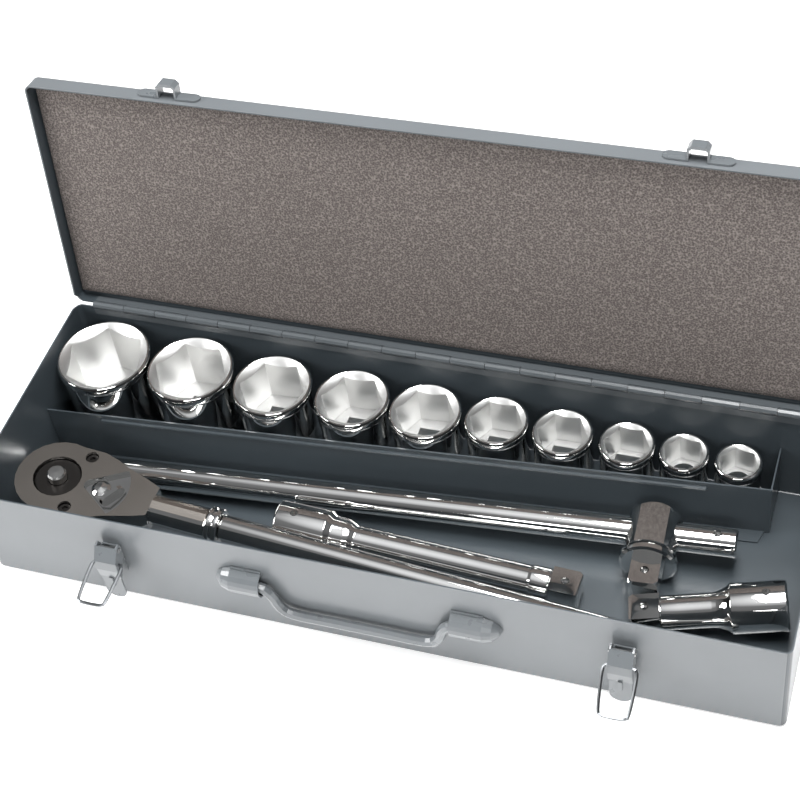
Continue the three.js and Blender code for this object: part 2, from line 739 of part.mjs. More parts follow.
function addExtension(name, { length, place, yaw }, ring) {
  // it lies on its socket end and, on the other side, on its tip or its shank
  const cup = length - extensionCup;
  const onTip = (extensionSocket - driveSize / 2) / cup;
  const onShank = (extensionSocket - extensionShank) / (cup - driveLength);
  const slope = Math.min(onTip, onShank);
  const height = floorTop + 0.15 + extensionSocket - cup * slope;
  const pitch = THREE.MathUtils.radToDeg(Math.asin(slope));
  const group = placed(...laid(place), height, { yaw, pitch });
  const lying = (g) => g.rotateX(Math.PI / 2).rotateZ(Math.PI / 2);
  add(name, lying(extension(length, ring)), chrome(), group);
  add(`${name}_ball`, ball().translate(driveLength / 2, 0, driveSize / 2 - 1.6), steel(), group);
}

addExtension('extension_long', longExtension, true);
addExtension('extension_short', shortExtension, false);

// ---- sliding T-bar ---------------------------------------------------------------------

const barFall = headCollar - barRadius;
const barPitch = THREE.MathUtils.radToDeg(Math.asin(barFall / (barLength - barStub)));
const barGroup = placed(...laid(barHeadPlace), floorTop + headCollar + headLift,
  { yaw: barYaw, pitch: barPitch });
const barFar = barStub - barLength;
const barBalls = [barFar + 13, barStub - 13];

function slidingBar() {
  const bar = alongX(rod(barRadius, barFar, barStub, 20, 1.2));
  const holes = barBalls.map((x) => rod(ballRadius + gap, barRadius - 4, barRadius + 1, 12)
    .translate(x, 0, 0));
  return cut(bar, ...holes);
}

function slidingHead() {
  // drive axis -Y, the bar's hole along X
  const body = alongY(turned([
    [0, -headFront], [headCollar - 1.6, -headFront], [headCollar, -headFront + 1.2],
    [headCollar, -headFront + 3.4], [headCollar - 1.3, -headFront + 4.4],
    [headCollar - 1.3, -headFront + 5.4], [headCollar - 0.4, -headFront + 6.2],
    [headRadius, -headFront + 8], [headRadius, headBack - 3], [headRadius - 3, headBack], [0, headBack],
  ], 24));
  const flats = [1, -1].map((side) => block([-40, 40], [-headFront + 8, headBack + 1],
    side > 0 ? [headFlat, headFlat + 9] : [-headFlat - 9, -headFlat]));
  const male = alongY(maleSquare(driveLength)).rotateY(Math.PI).translate(0, -headFront, 0);
  const through = alongX(rod(barRadius + barClearance, -40, 40, 20));
  return cut(join(cut(body, ...flats), male), through);
}

add('tbar_rod', slidingBar(), chrome(), barGroup);
add('tbar_head', slidingHead(), chrome(), barGroup);
add('tbar_head_ball', ball().translate(0, -headFront - driveLength / 2, driveSize / 2 - 1.6),
  steel(), barGroup);
barBalls.forEach((x, i) => {
  add(['tbar_ball_far', 'tbar_ball_near'][i], ball().translate(x, 0, barRadius - 1), steel(), barGroup);
});

// ---- ratchet handle --------------------------------------------------------------------

const ratchetHeight = floorTop + ratchetSquareEnd + 0.9;
const ratchetFall = ratchetHeight - floorTop - gripRadius - 0.15;
const ratchetGroup = placed(...laid(ratchetPlace), ratchetHeight, {
  yaw: ratchetYaw,
  pitch: -THREE.MathUtils.radToDeg(Math.asin(ratchetFall / gripEnd)),
});
const pocketFloor = -ratchetUnder + coverThickness + gap;
const collarStart = barrelEnd + gap;
const gripStart = collarStart + collarLength + gap;

function headOutline(inset) {
  const R = ratchetHeadRadius - inset;
  const points = [];
  for (let a = 75; a <= 285; a += 15) {
    const t = THREE.MathUtils.degToRad(a);
    points.push([R * Math.cos(t), R * Math.sin(t)]);
  }
  const side = [
    [24, R - 1.2], [35, R - 4.4], [43, R - 7.9], [52, R - 10.7], [62, R - 13.8],
    [ratchetNeckEnd, ratchetNeck - inset],
  ];
  side.forEach(([x, y]) => points.push([x, -y]));
  side.reverse().forEach(([x, y]) => points.push([x, y]));
  return polygon(points);
}

function leverPocket() {
  const half = THREE.MathUtils.degToRad(leverPocketHalf);
  const fan = new THREE.Shape();
  fan.absarc(leverPocketApex, 0, leverPocketRadius, -half, half);
  fan.lineTo(leverPocketApex + 0.5, 4.6);
  fan.absarc(leverPocketApex + 1.8, 0, 4.8, Math.PI / 2 + 0.3, 1.5 * Math.PI - 0.3);
  return plate(fan, ratchetTop - leverPocketDepth, ratchetTop + 1, 8);
}

function mechanismPocket() {
  const gear = rod(gearRadius + 0.7, pocketFloor - 5, pocketTop, 24);
  const sweep = rod(pawlReach + 0.6, pocketFloor - 5, pocketTop, 24).translate(leverPivot, 0, 0);
  return join(gear, common(sweep, block([0, leverPivot + pocketBack], [-30, 30], [-40, pocketTop + 1])));
}

function screwHoles(radius, z0, z1) {
  return [1, -1].map((side) => rod(radius, z0, z1, 12)
    .translate(screwPlace[0], side * screwPlace[1], 0));
}

function ratchetBody() {
  const outline = plate(headOutline(0), pocketFloor, ratchetTop);
  const side = frontProfile([
    [-40, pocketFloor - 1], [leverPivot + pocketBack + 4, pocketFloor - 1],
    [leverPivot + pocketBack + 4.5, pocketFloor],
    [63, -barrelRadius], [ratchetNeckEnd, -barrelRadius],
    [ratchetNeckEnd, ratchetTop + 1], [-40, ratchetTop + 1],
  ], -40, 40);
  const barrel = cut(
    alongX(rod(barrelRadius, 54, barrelEnd, 24, 0.6)),
    block([50, ratchetNeckEnd], [-20, 20], [ratchetTop, 20]),
  );
  const tenon = alongX(rod(tenonRadius, barrelEnd - 4, barrelEnd + tenonLength, 16));
  return cut(
    join(common(outline, side), barrel, tenon),
    mechanismPocket(),
    leverPocket(),
    rod(hubRadius + gap, 0, ratchetTop + 1, 24),
    rod(leverShaft + gap, 0, ratchetTop, 12).translate(leverPivot, 0, 0),
    ...screwHoles(screwHead + gap, ratchetTop - 5, ratchetTop + 1),
    ...screwHoles(screwShank + gap, -40, ratchetTop),
  );
}

function ratchetCover() {
  const outline = plate(headOutline(1), -ratchetUnder, -ratchetUnder + coverThickness);
  return cut(
    common(outline, block([-40, leverPivot + pocketBack + 3], [-40, 40], [-40, 0])),
    rod(shoulderRadius + gap, -40, 0, 24),
    ...screwHoles(screwShank + gap, -40, 0),
  );
}

function ratchetDrive() {
  const teeth = [];
  for (let k = 0; k < 2 * gearTeeth; k += 1) {
    const r = k % 2 ? gearRadius - toothDepth : gearRadius;
    const a = (Math.PI * k) / gearTeeth;
    teeth.push([r * Math.cos(a), r * Math.sin(a)]);
  }
  const end = -ratchetUnder - 1.5;
  const turnedPart = turned([
    [0, end], [shoulderRadius - 1, end], [shoulderRadius, end + 1], [shoulderRadius, 0],
    [hubRadius, 0], [hubRadius, ratchetTop - hubRecess - 1], [hubRadius - 1, ratchetTop - hubRecess],
    [0, ratchetTop - hubRecess],
  ], 24);
  const gear = plate(polygon(teeth), pocketFloor + gap, pocketTop - gap);
  const drive = maleSquare(ratchetSquareEnd + end).translate(0, 0, end);
  return cut(
    join(gear, turnedPart, drive),
    rod(buttonRadius + gap, ratchetTop - hubRecess - 8, ratchetTop, 16),
    rod(buttonStem + gap, ballHeight() - 6, ratchetTop, 12),
  );
}

function ballHeight() {
  const end = -ratchetUnder - 1.5;
  return end - (ratchetSquareEnd + end) / 2;
}

function ratchetButton() {
  const seat = ratchetTop - hubRecess - 8 + buttonTravel + gap;
  const top = ratchetTop + buttonProud;
  return turned([
    [0, ballHeight() - 6 + buttonTravel + gap], [buttonStem, ballHeight() - 6 + buttonTravel + gap],
    [buttonStem, seat], [buttonRadius, seat], [buttonRadius, top - 1.2],
    [buttonRadius - 1.2, top - 0.2], [0, top],
  ], 16);
}

function ratchetScrew() {
  const top = ratchetTop - 2.4;
  const head = ratchetTop - 5 + gap;
  const body = turned([
    [0, -ratchetUnder + 0.4], [screwShank, -ratchetUnder + 0.4], [screwShank, head],
    [screwHead, head], [screwHead, top - 0.5], [screwHead - 0.5, top], [0, top],
  ], 12);
  const key = plate(new THREE.Shape().absarc(0, 0, 2.2, 0, 2 * Math.PI), top - 1.6, top + 1, 3);
  return cut(body, key);
}

function ratchetLever() {
  // origin on the lever's pivot, pointing along +X
  const floor = ratchetTop - leverPocketDepth + gap;
  const top = ratchetTop - 0.6;
  const arm = plate(polygon([
    [-5, -5.6], [0, -7.4], [leverReach, -10.6], [leverReach + 4.4, -8], [leverReach + 5, 0],
    [leverReach + 4.4, 8], [leverReach, 10.6], [0, 7.4], [-5, 5.6], [-7.3, 0],
  ]), floor, top - 1);
  const dome = turned([[0, floor], [7, floor], [6.6, top - 0.4], [4.4, top + 0.8], [0, top + 1.5]], 16);
  const ridge = sideProfile([
    [-9.6, top - 1.2], [9.6, top - 1.2], [8.2, top + 2.2], [5, top + 3.6], [-5, top + 3.6],
    [-8.2, top + 2.2],
  ], -1.5, 1.5).rotateZ(-THREE.MathUtils.degToRad(12)).translate(leverReach - 1, 0, 0);
  const shaft = rod(leverShaft, -12, floor + 0.5, 12);
  return join(arm, dome, ridge, shaft);
}

function ratchetPawl() {
  // rocker on the lever's shaft, facing the gear
  const half = 0.55;
  const face = new THREE.Shape();
  face.moveTo(4.6, -5);
  face.lineTo(4.6, 5);
  face.absarc(0, 0, pawlReach, Math.PI - half, Math.PI + half);
  return cut(plate(face, pocketFloor + gap, pocketTop - gap, 6), rod(leverShaft + gap, -40, 40, 12));
}

function ratchetCollar() {
  const r = collarRadius;
  const [x0, x1] = [collarStart, collarStart + collarLength];
  const middle = (x0 + x1) / 2;
  return alongX(turned([
    [tenonRadius + gap, x0], [r - 0.8, x0], [r, x0 + 0.8], [r, middle - 1.2], [r - 1.3, middle - 0.4],
    [r - 1.3, middle + 0.4], [r, middle + 1.2], [r, x1 - 0.8], [r - 0.8, x1],
    [tenonRadius + gap, x1], [tenonRadius + gap, x0],
  ], 24));
}

function ratchetGrip() {
  const bore = barrelEnd + tenonLength + gap;
  return alongX(turned([
    [0, bore], [tenonRadius + gap, bore], [tenonRadius + gap, gripStart], [gripRadius - 0.6, gripStart],
    [gripRadius, gripStart + 0.6], [gripRadius, gripEnd - 3], [gripRadius - 1, gripEnd - 0.9],
    [gripRadius - 3, gripEnd], [0, gripEnd],
  ], 24));
}

add('ratchet_body', ratchetBody(), satin(), ratchetGroup);
add('ratchet_cover', ratchetCover(), chrome(), ratchetGroup);
add('ratchet_drive', ratchetDrive(), black(), ratchetGroup);
add('ratchet_drive_ball', ball().translate(0, driveSize / 2 - 1.6, ballHeight()), steel(), ratchetGroup);
add('ratchet_button', ratchetButton(), steel(), ratchetGroup);
[['rear', 1], ['front', -1]].forEach(([side, sign]) => {
  const screw = ratchetScrew().translate(screwPlace[0], sign * screwPlace[1], 0);
  add(`ratchet_screw_${side}`, screw, black(), ratchetGroup);
});
const leverGroup = placed(leverPivot, 0, 0, { yaw: -leverAngle }, ratchetGroup);
add('ratchet_lever', ratchetLever(), chrome(), leverGroup);
add('ratchet_pawl', ratchetPawl(), steel(), leverGroup);
add('ratchet_collar', ratchetCollar(), chrome(), ratchetGroup);
add('ratchet_grip', ratchetGrip(), chrome(), ratchetGroup);

export default model;
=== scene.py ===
"""Looks of a 3/4 inch drive socket wrench set that lies in its open sheet steel case.

Lengths are in metres. Pieces that stand for CAD nodes are built from the sizes below, in
millimetres, and from the boxes of the nodes that they replace.
"""
import math

import bmesh
import bpy
import numpy as np
from mathutils import Matrix, Vector, noise


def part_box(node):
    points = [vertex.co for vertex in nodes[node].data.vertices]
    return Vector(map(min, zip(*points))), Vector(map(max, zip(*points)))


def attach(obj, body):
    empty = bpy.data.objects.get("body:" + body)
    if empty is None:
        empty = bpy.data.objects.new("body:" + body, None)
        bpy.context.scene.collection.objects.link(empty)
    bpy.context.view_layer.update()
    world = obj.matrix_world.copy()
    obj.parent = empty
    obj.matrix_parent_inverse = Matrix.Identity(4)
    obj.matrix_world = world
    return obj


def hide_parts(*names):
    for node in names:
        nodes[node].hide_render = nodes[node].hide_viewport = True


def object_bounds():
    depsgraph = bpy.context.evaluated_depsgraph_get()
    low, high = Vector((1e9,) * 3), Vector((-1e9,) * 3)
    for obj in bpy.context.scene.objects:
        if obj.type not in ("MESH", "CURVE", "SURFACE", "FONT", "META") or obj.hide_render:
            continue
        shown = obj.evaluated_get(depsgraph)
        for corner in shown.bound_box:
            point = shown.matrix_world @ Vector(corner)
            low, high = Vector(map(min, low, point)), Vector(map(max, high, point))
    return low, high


MM = 0.001
REST_GAP = 0.15     # millimetres from the case's floor to an extension or the ratchet's grip

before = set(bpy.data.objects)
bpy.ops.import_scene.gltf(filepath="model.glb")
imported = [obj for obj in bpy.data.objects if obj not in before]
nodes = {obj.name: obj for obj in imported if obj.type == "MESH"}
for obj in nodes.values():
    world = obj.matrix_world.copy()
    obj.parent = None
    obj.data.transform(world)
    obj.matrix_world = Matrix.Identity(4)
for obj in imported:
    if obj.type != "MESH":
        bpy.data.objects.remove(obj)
cad_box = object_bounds()

# ---- sizes of the replaced pieces, in millimetres ----------------------------------------

FLOOR_TOP = 1.5
DRIVE = 19.05
DRIVE_GAP = 0.4
DRIVE_LENGTH = 20.5
NECK = 22.5
FLARE = 0.8
WEB = 3.0
SQUARE_DEPTH = 23.0
LIP_INSET = 1.9
MOUTH_SLOPE = 0.7
OPEN_SQUARE = 1.35      # a hexagon over this many drives wide has the bare square below it
# how far each socket is turned, in degrees, by the size of its hexagon
HEX_TURN = {50: -12, 46: 0, 41: 4, 38: 3, 36: 3, 32: 0, 30: 0, 27: -1, 24: -9, 22: -12}

BAR_RADIUS = 9.5
BAR_LENGTH = 480.0
BAR_STUB = 55.0
BAR_HEAD = (167.0, 20.7, 21.0)
BAR_YAW = 3.4
HEAD_COLLAR = 19.0
BAR_HOLE_INSET = 13.0
BAR_HOLE_RADIUS = 2.9
BAR_HOLE_DEPTH = 5.0

CUP_RADIUS = 16.6
CUP_LENGTH = 36.5
CUP_HOLE_DEPTH = 26.0
SHANK = 11.4
BALL_HOLE_RADIUS = 3.0
BALL_HOLE_DEPTH = 3.2
CATCH_INSET = 13.0
CATCH_RADIUS = 2.7
CATCH_DEPTH = 7.4
# length, place of the square end, yaw in degrees, whether the shank is necked between rings
EXTENSIONS = {
    "extension_long": (212.0, (129.7, -29.6), 178.8, True),
    "extension_short": (100.4, (164.3, -38.9), 13.2, False),
}

RATCHET_AT = (-232.2, -46.3, 47.9)
RATCHET_YAW = -1.65
RATCHET_TOP = 9.1
GRIP_END = 470.0
GRIP_RADIUS = 9.0
GRIP_START = 121.6
COLLAR_START = 112.3
COLLAR_LENGTH = 9.0
COLLAR_RADIUS = 12.4
TENON_RADIUS = 6.3
GRIP_BORE = 136.3

# points around each ring of a loft
SOCKET_SEGMENTS = 360
EXTENSION_SEGMENTS = 120


# ---- materials --------------------------------------------------------------------------

class Look:
    """A material whose nodes are added one by one."""

    def __init__(self, name):
        self.material = bpy.data.materials.new(name)
        self.material.use_nodes = True
        self.tree = self.material.node_tree
        self.shader = self.tree.nodes["Principled BSDF"]
        self.place = self.tree.nodes.new("ShaderNodeTexCoord").outputs["Object"]

    def node(self, kind, **inputs):
        made = self.tree.nodes.new(kind)
        for key, value in inputs.items():
            socket = made.inputs[int(key[1:])] if key[0] == "_" else made.inputs[key]
            if isinstance(value, bpy.types.NodeSocket):
                self.tree.links.new(value, socket)
            else:
                socket.default_value = value
        return made

    def noise(self, scale, detail=3.0, stretch=None):
        place = self.place
        if stretch:
            mapping = self.node("ShaderNodeMapping", Vector=place, Scale=stretch)
            place = mapping.outputs[0]
        made = self.node("ShaderNodeTexNoise", Vector=place, Scale=scale, Detail=detail)
        return made.outputs[0]

    def ramp(self, value, stops):
        made = self.node("ShaderNodeValToRGB", Fac=value)
        elements = made.color_ramp.elements
        for element, (at, colour) in zip(elements, stops):
            element.position = at
            element.color = (*colour, 1.0)
        for at, colour in stops[2:]:
            element = elements.new(at)
            element.color = (*colour, 1.0)
        return made.outputs[0]

    def span(self, value, low, high):
        made = self.node("ShaderNodeMapRange", Value=value)
        made.inputs["To Min"].default_value = low
        made.inputs["To Max"].default_value = high
        return made.outputs[0]

    def bump(self, height, strength, distance):
        made = self.node("ShaderNodeBump", Height=height, Strength=strength, Distance=distance)
        self.link(made.outputs[0], "Normal")

    def link(self, value, name):
        self.tree.links.new(value, self.shader.inputs[name])

    def set(self, **values):
        for key, value in values.items():
            self.shader.inputs[key.replace("_", " ")].default_value = value


def shade(colour, by):
    """A colour made lighter or darker, and at most white."""
    return tuple(min(1.0, c * by) for c in colour)


def enamel_surface(look, smooth, rough, coat):
    """Fine orange peel and faint handling marks, under a thin clear coat."""
    look.link(look.span(look.noise(60.0, 4.0), smooth, rough), "Roughness")
    look.bump(look.noise(900.0, 2.0), 0.12, 0.0002)
    look.set(Coat_Weight=coat, Coat_Roughness=0.18)


def paint(name, colour, rough=0.32, coat=0.25):
    """Semi-gloss enamel on pressed sheet."""
    look = Look(name)
    cloud = look.noise(9.0, 5.0)
    look.link(look.ramp(cloud, [(0.3, shade(colour, 0.93)), (0.7, shade(colour, 1.06))]),
              "Base Color")
    enamel_surface(look, rough - 0.05, rough + 0.07, coat)
    return look.material


def two_tone_paint(name, outside, inside, low, high, planes=()):
    """The same enamel, with the outside colour beyond low..high and beyond planes.

    low and high are in metres, and a limit of None is left out. A plane is its normal and its
    offset along it, in metres.
    """
    look = Look(name)
    split = look.node("ShaderNodeSeparateXYZ", Vector=look.place)
    tests = []
    for axis in range(3):
        tests.append((split.outputs[axis], low[axis], "LESS_THAN"))
        tests.append((split.outputs[axis], high[axis], "GREATER_THAN"))
    for normal, offset in planes:
        rise = look.node("ShaderNodeVectorMath", _0=look.place, _1=normal)
        rise.operation = "DOT_PRODUCT"
        tests.append((rise.outputs["Value"], offset, "GREATER_THAN"))
    out = None
    for value, limit, operation in tests:
        if limit is None:
            continue
        test = look.node("ShaderNodeMath", _0=value, _1=limit)
        test.operation = operation
        if out is not None:
            joined = look.node("ShaderNodeMath", _0=out, _1=test.outputs[0])
            joined.operation = "MAXIMUM"
            test = joined
        out = test.outputs[0]
    cloud = look.noise(9.0, 5.0)
    shades = [look.ramp(cloud, [(0.3, shade(c, 0.94)), (0.7, shade(c, 1.05))])
              for c in (inside, outside)]
    mix = look.node("ShaderNodeMix")
    mix.data_type = "RGBA"
    look.tree.links.new(out, mix.inputs[0])
    look.tree.links.new(shades[0], mix.inputs[6])
    look.tree.links.new(shades[1], mix.inputs[7])
    look.link(mix.outputs[2], "Base Color")
    enamel_surface(look, 0.28, 0.38, 0.25)
    return look.material


def metal(name, colour, rough, vary=0.03, grain=None, strength=0.05):
    """Plated or ground steel. grain stretches the fine scratches along an axis."""
    look = Look(name)
    cloud = look.noise(25.0, 4.0)
    look.link(look.ramp(cloud, [(0.35, shade(colour, 0.96)), (0.65, shade(colour, 1.03))]),
              "Base Color")
    fine = look.noise(500.0, 4.0, grain)
    look.link(look.span(fine, max(0.02, rough - vary), rough + vary), "Roughness")
    look.bump(fine, strength, 0.0001)
    look.set(Metallic=1.0)
    return look.material


def head_look(name, face, polish, centre, normal, height):
    """Ground steel on the ratchet's flat face, height above centre, and chrome below it."""
    look = Look(name)
    away = look.node("ShaderNodeVectorMath", _0=look.place, _1=tuple(centre))
    away.operation = "SUBTRACT"
    rise = look.node("ShaderNodeVectorMath", _0=away.outputs[0], _1=tuple(normal))
    rise.operation = "DOT_PRODUCT"
    top = look.node("ShaderNodeMath", _0=rise.outputs["Value"], _1=height)
    top.operation = "GREATER_THAN"
    mix = look.node("ShaderNodeMix")
    mix.data_type = "RGBA"
    look.tree.links.new(top.outputs[0], mix.inputs[0])
    grain = look.noise(30.0, 4.0)
    for socket, colour in ((6, polish), (7, face)):
        stops = [(0.35, shade(colour, 0.95)), (0.65, shade(colour, 1.04))]
        look.tree.links.new(look.ramp(grain, stops), mix.inputs[socket])
    look.link(mix.outputs[2], "Base Color")
    look.link(look.span(top.outputs[0], 0.06, 0.24), "Roughness")
    look.bump(look.noise(500.0, 4.0), 0.006, 0.0001)
    look.set(Metallic=1.0)
    return look.material


def foam_look():
    """Grey-brown open-cell foam: light and dark cells the size of a pinhead."""
    look = Look("foam")
    cells = look.node("ShaderNodeTexVoronoi", Vector=look.place, Scale=750.0).outputs[0]
    grain = look.noise(1000.0, 3.0)
    mixed = look.node("ShaderNodeMath", _0=cells, _1=grain)
    mixed.operation = "MULTIPLY"
    look.link(look.ramp(mixed.outputs[0], [
        (0.0, (0.055, 0.047, 0.043)), (0.2, (0.12, 0.104, 0.097)), (0.5, (0.25, 0.22, 0.205)),
    ]), "Base Color")
    look.bump(mixed.outputs[0], 0.5, 0.0008)
    look.set(Roughness=0.95, Specular_IOR_Level=0.2)
    return look.material


def floor_look():
    """A pale floor that glows slightly, so that it fades to the photo's white sweep."""
    look = Look("pale_floor")
    stops = [(0.3, (0.86, 0.86, 0.86)), (0.7, (0.9, 0.9, 0.9))]
    look.link(look.ramp(look.noise(3.0, 2.0), stops), "Base Color")
    look.set(Roughness=0.6, Emission_Color=(1.0, 1.0, 1.0, 1.0), Emission_Strength=0.45)
    return look.material


OUTER = (0.155, 0.168, 0.178)
INNER = (0.05, 0.062, 0.071)
CHROME = (0.80, 0.80, 0.79)
SKIN = 0.0004       # metres under an outer face to which it counts as outside

BASE_LOW, BASE_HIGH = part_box("case_base")
LID_LOW, LID_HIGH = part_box("lid_shell")
base_paint = two_tone_paint(
    "case_paint", OUTER, INNER,
    (BASE_LOW.x + SKIN, BASE_LOW.y + SKIN, BASE_LOW.z + SKIN),
    (BASE_HIGH.x - SKIN, BASE_HIGH.y - SKIN, None))
LID_OPEN = math.radians(98)
# outward normals of the lid's top and front, as they stand at rest
LID_SIDES = ((0.0, math.sin(LID_OPEN), math.cos(LID_OPEN)),
             (0.0, -math.cos(LID_OPEN), math.sin(LID_OPEN)))


def outer_plane(node, normal):
    """The plane just under a node's outermost face along normal."""
    reach = max(v.co.dot(Vector(normal)) for v in nodes[node].data.vertices)
    return normal, reach - SKIN


lid_paint = two_tone_paint(
    "lid_paint", OUTER, INNER,
    (LID_LOW.x + SKIN, None, None), (LID_HIGH.x - SKIN, None, None),
    [outer_plane("lid_shell", side) for side in LID_SIDES])
tray_paint = paint("tray_paint", INNER)
hardware_paint = paint("hardware_paint", (0.14, 0.153, 0.162), 0.28, 0.5)
hinge_paint = paint("hinge_paint", (0.085, 0.096, 0.104), 0.34, 0.3)
chrome = metal("polished_chrome", CHROME, 0.05, 0.012, strength=0.004)
satin_mouth = metal("satin_chrome", (0.84, 0.84, 0.83), 0.38, 0.03, strength=0.01)
plain_steel = metal("plain_steel", (0.62, 0.62, 0.61), 0.2, 0.05)
black_steel = metal("black_oxide", (0.045, 0.042, 0.04), 0.35, 0.05)
bail_steel = metal("bail_steel", (0.24, 0.25, 0.26), 0.3, 0.04)
foam = foam_look()


# ---- mesh helpers -----------------------------------------------------------------------

def finish_piece(piece, body, replaced, sharp=35.0):
    """Smooth shading up to an angle, then the piece's body, and the node it stands for is hidden.
    """
    piece.data.shade_smooth()
    piece.data.set_sharp_from_angle(angle=math.radians(sharp))
    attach(piece, body)
    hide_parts(replaced)
    return piece


def mesh_piece(name, vertices, faces, materials, indices=None):
    """A new object. indices gives each face's material, and without it all take the first."""
    mesh = bpy.data.meshes.new(name)
    mesh.from_pydata(vertices, [], faces)
    for made in materials:
        mesh.materials.append(made)
    if indices is not None:
        mesh.polygons.foreach_set("material_index", indices)
    mesh.validate()
    mesh.update()
    piece = bpy.data.objects.new(name, mesh)
    bpy.context.scene.collection.objects.link(piece)
    return piece


def circle(radius):
    """Polar radius of a circle."""
    return lambda t: radius


def square(side, corner=None):
    """Polar radius of a square, its corners cut off by a circle."""
    def at(t):
        r = side / 2 / max(abs(math.cos(t)), abs(math.sin(t)))
        return min(r, corner) if corner else r
    return at


def hexagon(flats, turn):
    """Polar radius of a hexagon with relieved corners."""
    step = math.pi / 3
    relief = math.radians(7)
    beside = flats / 2 / math.cos(step / 2 - relief) + 0.5
    corner = flats / 2 / math.cos(step / 2) + 0.35

    def at(t):
        away = abs((t - math.radians(turn) + step / 2) % step - step / 2)
        if away <= relief:
            return corner + (beside - corner) * away / relief
        # straight line from the relief's edge to the middle of the flat
        edge = beside * math.cos(step / 2 - relief)
        return edge / math.cos(step / 2 - away)
    return at


def loft(name, rings, materials, segments=96, closed=False):
    """A skin through rings (polar function, height or height function, material index)."""
    vertices, faces, indices = [], [], []
    for shape, z, _ in rings:
        for k in range(segments):
            t = 2 * math.pi * k / segments
            r = shape(t)
            height = z(t) if callable(z) else z
            vertices.append((r * math.cos(t) * MM, r * math.sin(t) * MM, height * MM))
    count = len(rings)
    for i in range(count if closed else count - 1):
        j = (i + 1) % count
        for k in range(segments):
            n = (k + 1) % segments
            faces.append((i * segments + k, i * segments + n, j * segments + n, j * segments + k))
            indices.append(rings[i][2])
    if not closed:
        faces.append(tuple(reversed(range(segments))))
        indices.append(rings[0][2])
        faces.append(tuple(range((count - 1) * segments, count * segments)))
        indices.append(rings[-1][2])
    return mesh_piece(name, vertices, faces, materials, indices)


def lathe_rings(profile, index=0):
    """Rings for (radius, height) corners, each corner rounded by a tiny arc of two points."""
    rings = []
    for i, (r, z) in enumerate(profile):
        before = Vector(profile[i - 1]) if i else None
        after = Vector(profile[i + 1]) if i + 1 < len(profile) else None
        here = Vector((r, z))
        if before is None or after is None:
            rings.append((circle(max(r, 0.01)), z, index))
            continue
        a, b = before - here, after - here
        cut = min(0.35, a.length / 3, b.length / 3)
        p, q = here + a.normalized() * cut, here + b.normalized() * cut
        middle = (p + q + here * 2) / 4
        for point in (p, middle, q):
            rings.append((circle(max(point.x, 0.01)), point.y, index))
    return rings


def tool_matrix(at, yaw, pitch):
    """Frame of a tool that lies along +X, turned by yaw and raised by pitch, in degrees."""
    return (Matrix.Translation(Vector(at) * MM)
            @ Matrix.Rotation(math.radians(yaw), 4, "Z")
            @ Matrix.Rotation(-math.radians(pitch), 4, "Y"))


# turns a piece lofted along +Z to lie along +X
LYING = Matrix.Rotation(math.pi / 2, 4, "Z") @ Matrix.Rotation(math.pi / 2, 4, "X")


def lay(piece, matrix, lying=True):
    """Moves a finished mesh to its place. lying is for a tool that was lofted along +Z."""
    piece.data.transform(matrix @ LYING if lying else matrix)
    piece.data.update()


def bore_out(piece, centre, direction, radius, depth):
    """Cuts a round hole into a finished piece, in its own coordinates, in millimetres."""
    bm = bmesh.new()
    turn = Vector((0, 0, 1)).rotation_difference(Vector(direction)).to_matrix().to_4x4()
    bmesh.ops.create_cone(bm, cap_ends=True, segments=32, radius1=radius * MM,
                          radius2=radius * MM, depth=depth * MM,
                          matrix=Matrix.Translation(Vector(centre) * MM) @ turn)
    tool_mesh = bpy.data.meshes.new("bore")
    bm.to_mesh(tool_mesh)
    bm.free()
    tool = bpy.data.objects.new("bore", tool_mesh)
    bpy.context.scene.collection.objects.link(tool)
    modifier = piece.modifiers.new("bore", "BOOLEAN")
    modifier.object = tool
    modifier.operation = "DIFFERENCE"
    modifier.solver = "EXACT"
    bpy.context.view_layer.update()
    cut = bpy.data.meshes.new_from_object(
        piece.evaluated_get(bpy.context.evaluated_depsgraph_get()))
    piece.modifiers.clear()
    piece.data = cut
    bpy.data.objects.remove(tool)


# ---- sockets ----------------------------------------------------------------------------

